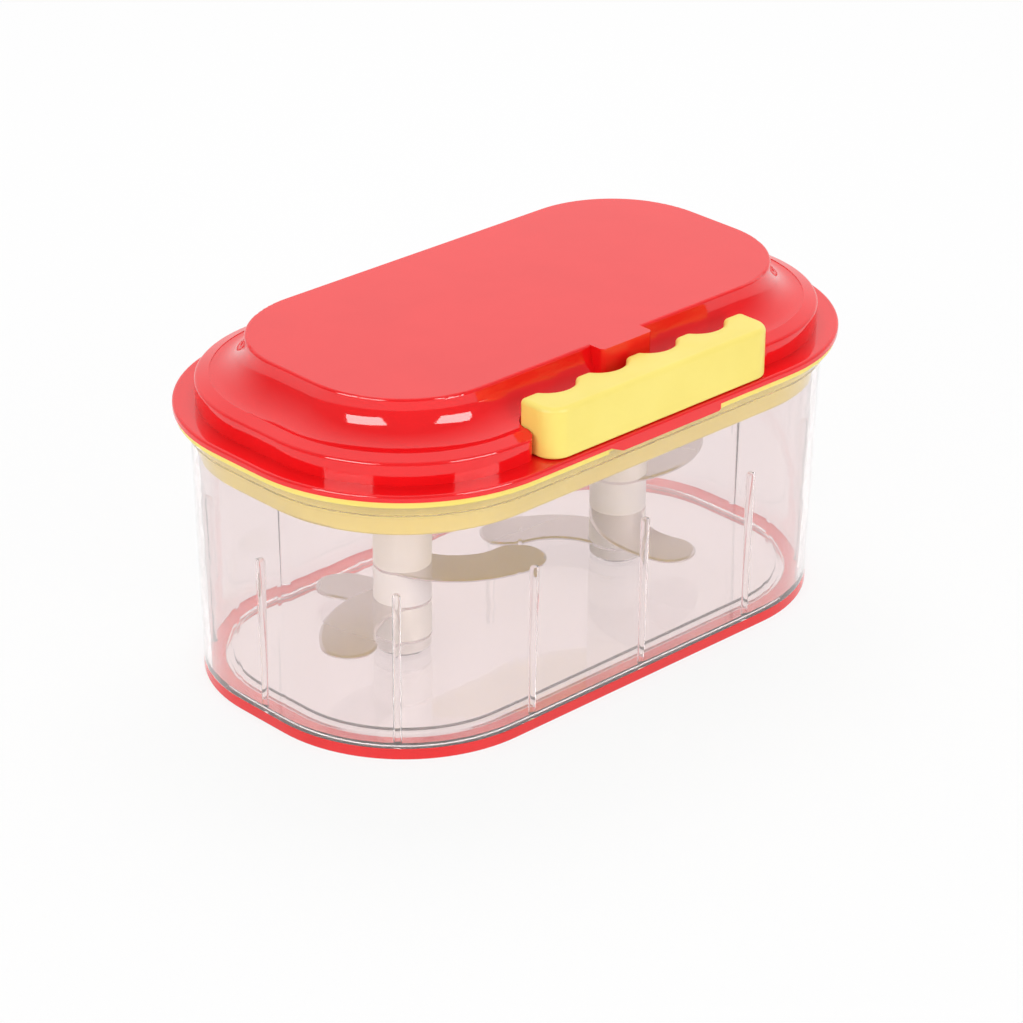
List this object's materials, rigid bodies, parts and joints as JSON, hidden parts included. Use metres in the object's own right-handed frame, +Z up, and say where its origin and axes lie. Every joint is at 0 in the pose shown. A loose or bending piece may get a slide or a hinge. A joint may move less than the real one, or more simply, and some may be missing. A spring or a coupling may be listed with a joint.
{
  "type": "vegetable chopper",
  "caption": "Hand-pulled vegetable chopper: clear oval bowl, lid with a geared cord drive, finger-grooved pull handle and twin sickle-blade spindles.",
  "frame": {"origin": "centre of the footprint, on the table", "axes": "+X along the bowl, -Y towards the pull handle, +Z up"},
  "size_m": [0.2, 0.12, 0.1],
  "materials": {
    "clear_plastic": "clear moulded plastic with a faint pink tint",
    "red_plastic": "glossy",
    "yellow_plastic": "satin gloss",
    "cream_plastic": "satin",
    "white_plastic": "satin",
    "natural_plastic": "milky, slightly translucent",
    "white_nylon": "moulded",
    "cord": "braided",
    "steel": "turned",
    "spring_steel": "rolled strip",
    "blade_steel": "ground and polished"
  },
  "bodies": {
    "container": {"container": "clear_plastic", "base_ring": "red_plastic", "left_pivot_pin": "steel", "right_pivot_pin": "steel"},
    "lid": {"cover": "red_plastic", "lid_tray": "yellow_plastic", "cord_eyelet": "white_nylon", "drum_axle": "steel", "left_bush": "white_nylon", "right_bush": "white_nylon", "cover_screws": "steel", "return_spring": "spring_steel"},
    "handle": {"handle": "yellow_plastic", "cord_knot": "cord", "pull_cord": "cord"},
    "drum": {"cord_drum": "white_nylon", "cord_winding": "cord", "spring_cover": "white_nylon", "clutch_plate": "white_nylon"},
    "drive_gear": {"drive_gear": "white_nylon"},
    "left_output": {"left_output_gear": "white_nylon"},
    "left_spindle": {"left_post": "cream_plastic", "left_upper_blade": "blade_steel", "left_middle_collar": "white_plastic", "left_middle_blade": "blade_steel", "left_lower_collar": "cream_plastic", "left_lower_blade": "blade_steel", "left_foot": "natural_plastic"},
    "right_output": {"right_output_gear": "white_nylon"},
    "right_spindle": {"right_post": "cream_plastic", "right_upper_blade": "blade_steel", "right_middle_collar": "white_plastic", "right_middle_blade": "blade_steel", "right_lower_collar": "cream_plastic", "right_lower_blade": "blade_steel", "right_foot": "natural_plastic"}
  },
  "joints": [
    {"name": "lid_lift", "type": "slide", "parent": "container", "child": "lid", "axis": [0, 0, 1], "range_m": [0, 0.1]},
    {"name": "handle_pull", "type": "slide", "parent": "lid", "child": "handle", "axis": [0, -1, 0], "range_m": [0, 0.3], "stiffness_N_per_m": 10, "springref_m": -0.2, "deforming": ["pull_cord"]},
    {"name": "drum_spin", "type": "hinge", "parent": "lid", "child": "drum", "pos_m": [0, 0, 0], "axis": [0, 0, 1], "range_deg": [-5, 1056.3], "deforming": ["return_spring"]},
    {"name": "drive_gear_spin", "type": "hinge", "parent": "lid", "child": "drive_gear", "pos_m": [0, 0, 0], "axis": [0, 0, 1], "range_deg": [-5, 1056.3]},
    {"name": "left_gear_spin", "type": "hinge", "parent": "lid", "child": "left_output", "pos_m": [-0.042, 0, 0], "axis": [0, 0, 1], "range_deg": [-1629.73, 5]},
    {"name": "right_gear_spin", "type": "hinge", "parent": "lid", "child": "right_output", "pos_m": [0.042, 0, 0], "axis": [0, 0, 1], "range_deg": [-1629.73, 5]},
    {"name": "left_spindle_spin", "type": "hinge", "parent": "container", "child": "left_spindle", "pos_m": [-0.042, 0, 0], "axis": [0, 0, 1], "range_deg": [-1629.73, 5]},
    {"name": "right_spindle_spin", "type": "hinge", "parent": "container", "child": "right_spindle", "pos_m": [0.042, 0, 0], "axis": [0, 0, 1], "range_deg": [-1629.73, 5]}
  ],
  "couplings": [
    {"joint": "drum_spin", "follows": "handle_pull", "rad_per_m": 61.162},
    {"joint": "drive_gear_spin", "follows": "handle_pull", "rad_per_m": 61.162},
    {"joint": "left_gear_spin", "follows": "handle_pull", "rad_per_m": -94.523},
    {"joint": "right_gear_spin", "follows": "handle_pull", "rad_per_m": -94.523},
    {"joint": "left_spindle_spin", "follows": "handle_pull", "rad_per_m": -94.523},
    {"joint": "right_spindle_spin", "follows": "handle_pull", "rad_per_m": -94.523}
  ]
}
